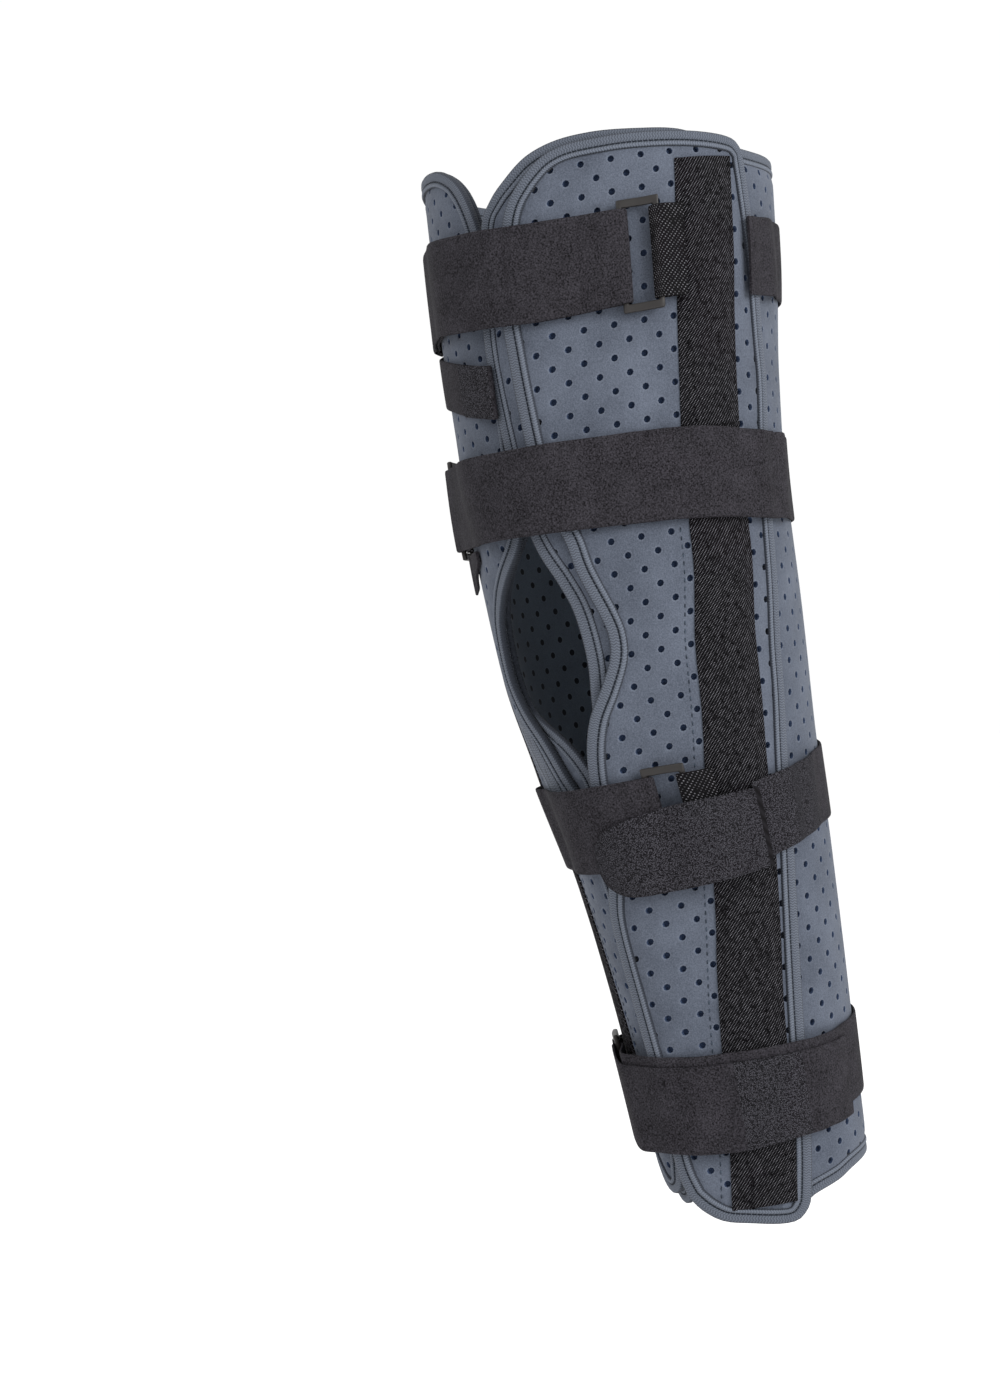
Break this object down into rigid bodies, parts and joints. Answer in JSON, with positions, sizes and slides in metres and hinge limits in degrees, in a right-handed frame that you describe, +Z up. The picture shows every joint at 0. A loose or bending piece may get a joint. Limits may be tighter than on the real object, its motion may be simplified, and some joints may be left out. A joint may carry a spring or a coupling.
{
  "type": "knee immobilizer",
  "caption": "Long foam knee immobilizer closed round the leg, open over the kneecap, with side panels, stay pockets and loop straps through rings.",
  "frame": {"origin": "on the axis of the leg's hollow at the height of the kneecap, where the leg holds the part", "axes": "+Z up along the leg, -Y to the front of the knee, +X to the outer side of the left leg"},
  "size_m": [0.1997, 0.2079, 0.5722],
  "materials": {
    "foam_cloth": "perforated foam laminate with a matte grey-blue brushed face",
    "edge_tape": "ribbed grey-blue knitted edge tape, sewn down",
    "pocket_twill": "coarse black twill webbing",
    "strap_cloth": "charcoal brushed loop cloth",
    "ring_plastic": "moulded dark taupe plastic",
    "mesh_webbing": "coarse black mesh webbing"
  },
  "bodies": {
    "root": {"body_wrap": "foam_cloth", "lateral_panel": "foam_cloth", "medial_panel": "foam_cloth", "body_wrap_edge_tape": "edge_tape", "lateral_panel_edge_tape": "edge_tape", "medial_panel_edge_tape": "edge_tape", "lateral_stay_pocket": "pocket_twill", "medial_stay_pocket": "pocket_twill", "top_strap": "strap_cloth", "above_knee_strap": "strap_cloth", "below_knee_strap": "strap_cloth", "bottom_strap": "strap_cloth", "below_knee_hook_tab": "strap_cloth", "closing_tab": "strap_cloth", "above_knee_tail": "strap_cloth", "top_ring": "ring_plastic", "above_knee_ring": "ring_plastic", "below_knee_ring": "ring_plastic", "bottom_ring": "ring_plastic", "top_ring_webbing": "mesh_webbing", "above_knee_ring_webbing": "mesh_webbing", "below_knee_ring_webbing": "mesh_webbing", "bottom_ring_webbing": "mesh_webbing"}
  },
  "joints": []
}
